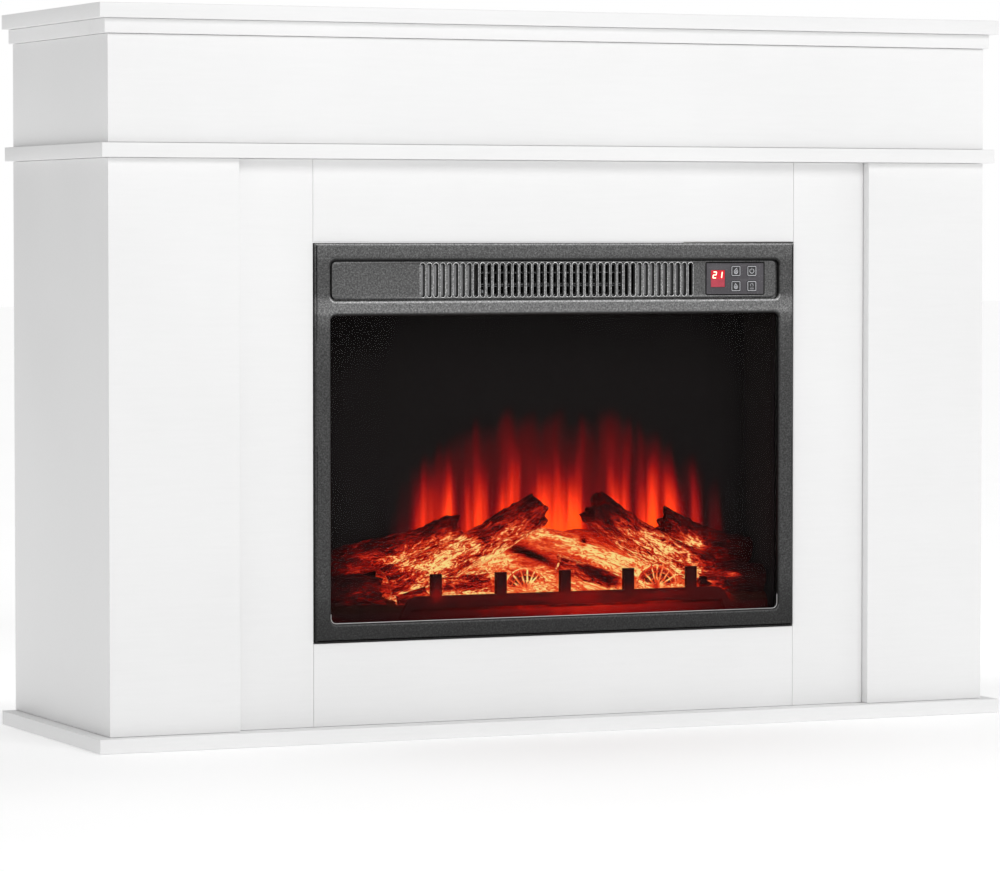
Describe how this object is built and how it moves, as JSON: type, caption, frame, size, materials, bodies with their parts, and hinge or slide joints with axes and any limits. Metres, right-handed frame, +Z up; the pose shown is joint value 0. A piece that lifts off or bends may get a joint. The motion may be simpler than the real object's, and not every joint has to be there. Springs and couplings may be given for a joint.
{
  "type": "electric fireplace",
  "caption": "Free-standing white board mantel around a charcoal steel electric fireplace insert with a glass window, lit log set, air grille and push-button panel.",
  "frame": {"origin": "middle of the footprint, on the floor plane", "axes": "+Z up; the front with the glass window faces -Y; +X runs to the right seen from the front"},
  "size_m": [1.098, 0.34, 0.8],
  "materials": {
    "white_board": "smooth white satin foil on fibreboard",
    "raw_board": "unfinished grey-white board",
    "charcoal_steel": "charcoal powder coat with a fine speckle",
    "plain_steel": "plain galvanised sheet",
    "black_plastic": "dark glossy plastic",
    "clear_glass": "clear tempered glass",
    "flame_acrylic": "dark translucent flame screen",
    "red_display": "lit red display window",
    "ember_resin": "translucent glowing ember resin",
    "log_resin": "moulded charred log resin",
    "grate_paint": "matt black grate, lit red from behind",
    "circuit_board": "green circuit board",
    "mica": "mica heater frame",
    "mirror_foil": "bright reflective foil"
  },
  "bodies": {
    "cabinet": {"top_board": "white_board", "cornice_front_strip": "white_board", "cornice_side_strip_left": "white_board", "cornice_side_strip_right": "white_board", "frieze_front": "white_board", "frieze_side_left": "white_board", "frieze_side_right": "white_board", "mid_shelf_board": "white_board", "pilaster_left": "white_board", "pilaster_right": "white_board", "stile_left": "white_board", "stile_right": "white_board", "header_panel": "white_board", "apron_panel": "white_board", "side_panel_left": "white_board", "side_panel_right": "white_board", "base_board": "white_board", "back_rail_lower": "white_board", "back_rail_upper": "white_board", "inner_upright_left": "raw_board", "inner_upright_right": "raw_board", "insert_shelf": "raw_board", "front_frame": "charcoal_steel", "grille_plate": "charcoal_steel", "outlet_flange": "plain_steel", "casing_bottom": "plain_steel", "casing_top": "plain_steel", "casing_side_left": "plain_steel", "casing_side_right": "plain_steel", "divider_shelf": "plain_steel", "rear_cover": "plain_steel", "blower_housing": "plain_steel", "fan_motor": "plain_steel", "control_fascia": "black_plastic", "cord_gland": "black_plastic", "thermal_cutout": "black_plastic", "rotor_bracket": "black_plastic", "rotor_motor": "black_plastic", "glass_pane": "clear_glass", "flame_screen": "flame_acrylic", "display_window": "red_display", "ember_bed": "ember_resin", "log_left_front": "log_resin", "log_left_back": "log_resin", "log_left_low": "log_resin", "log_right_front": "log_resin", "log_right_back": "log_resin", "log_right_low": "log_resin", "grate": "grate_paint", "control_board": "circuit_board", "flame_led_strip": "circuit_board", "ember_led_strip": "circuit_board", "heater_element": "mica"},
    "fan": {"fan_wheel": "charcoal_steel"},
    "rotor": {"flame_rotor": "mirror_foil"},
    "button_flame": {"button_flame": "black_plastic"},
    "button_power": {"button_power": "black_plastic"},
    "button_heat": {"button_heat": "black_plastic"},
    "button_timer": {"button_timer": "black_plastic"}
  },
  "joints": [
    {"name": "fan_spin", "type": "hinge", "parent": "cabinet", "child": "fan", "pos_m": [0, -0.04, 0.506], "axis": [1, 0, 0], "continuous": true},
    {"name": "rotor_spin", "type": "hinge", "parent": "cabinet", "child": "rotor", "pos_m": [0, -0.015, 0.19], "axis": [1, 0, 0], "continuous": true},
    {"name": "button_flame_press", "type": "slide", "parent": "cabinet", "child": "button_flame", "axis": [0, 1, 0], "range_m": [0, 0.0006], "stiffness_N_per_m": 2500},
    {"name": "button_power_press", "type": "slide", "parent": "cabinet", "child": "button_power", "axis": [0, 1, 0], "range_m": [0, 0.0006], "stiffness_N_per_m": 2500},
    {"name": "button_heat_press", "type": "slide", "parent": "cabinet", "child": "button_heat", "axis": [0, 1, 0], "range_m": [0, 0.0006], "stiffness_N_per_m": 2500},
    {"name": "button_timer_press", "type": "slide", "parent": "cabinet", "child": "button_timer", "axis": [0, 1, 0], "range_m": [0, 0.0006], "stiffness_N_per_m": 2500}
  ]
}
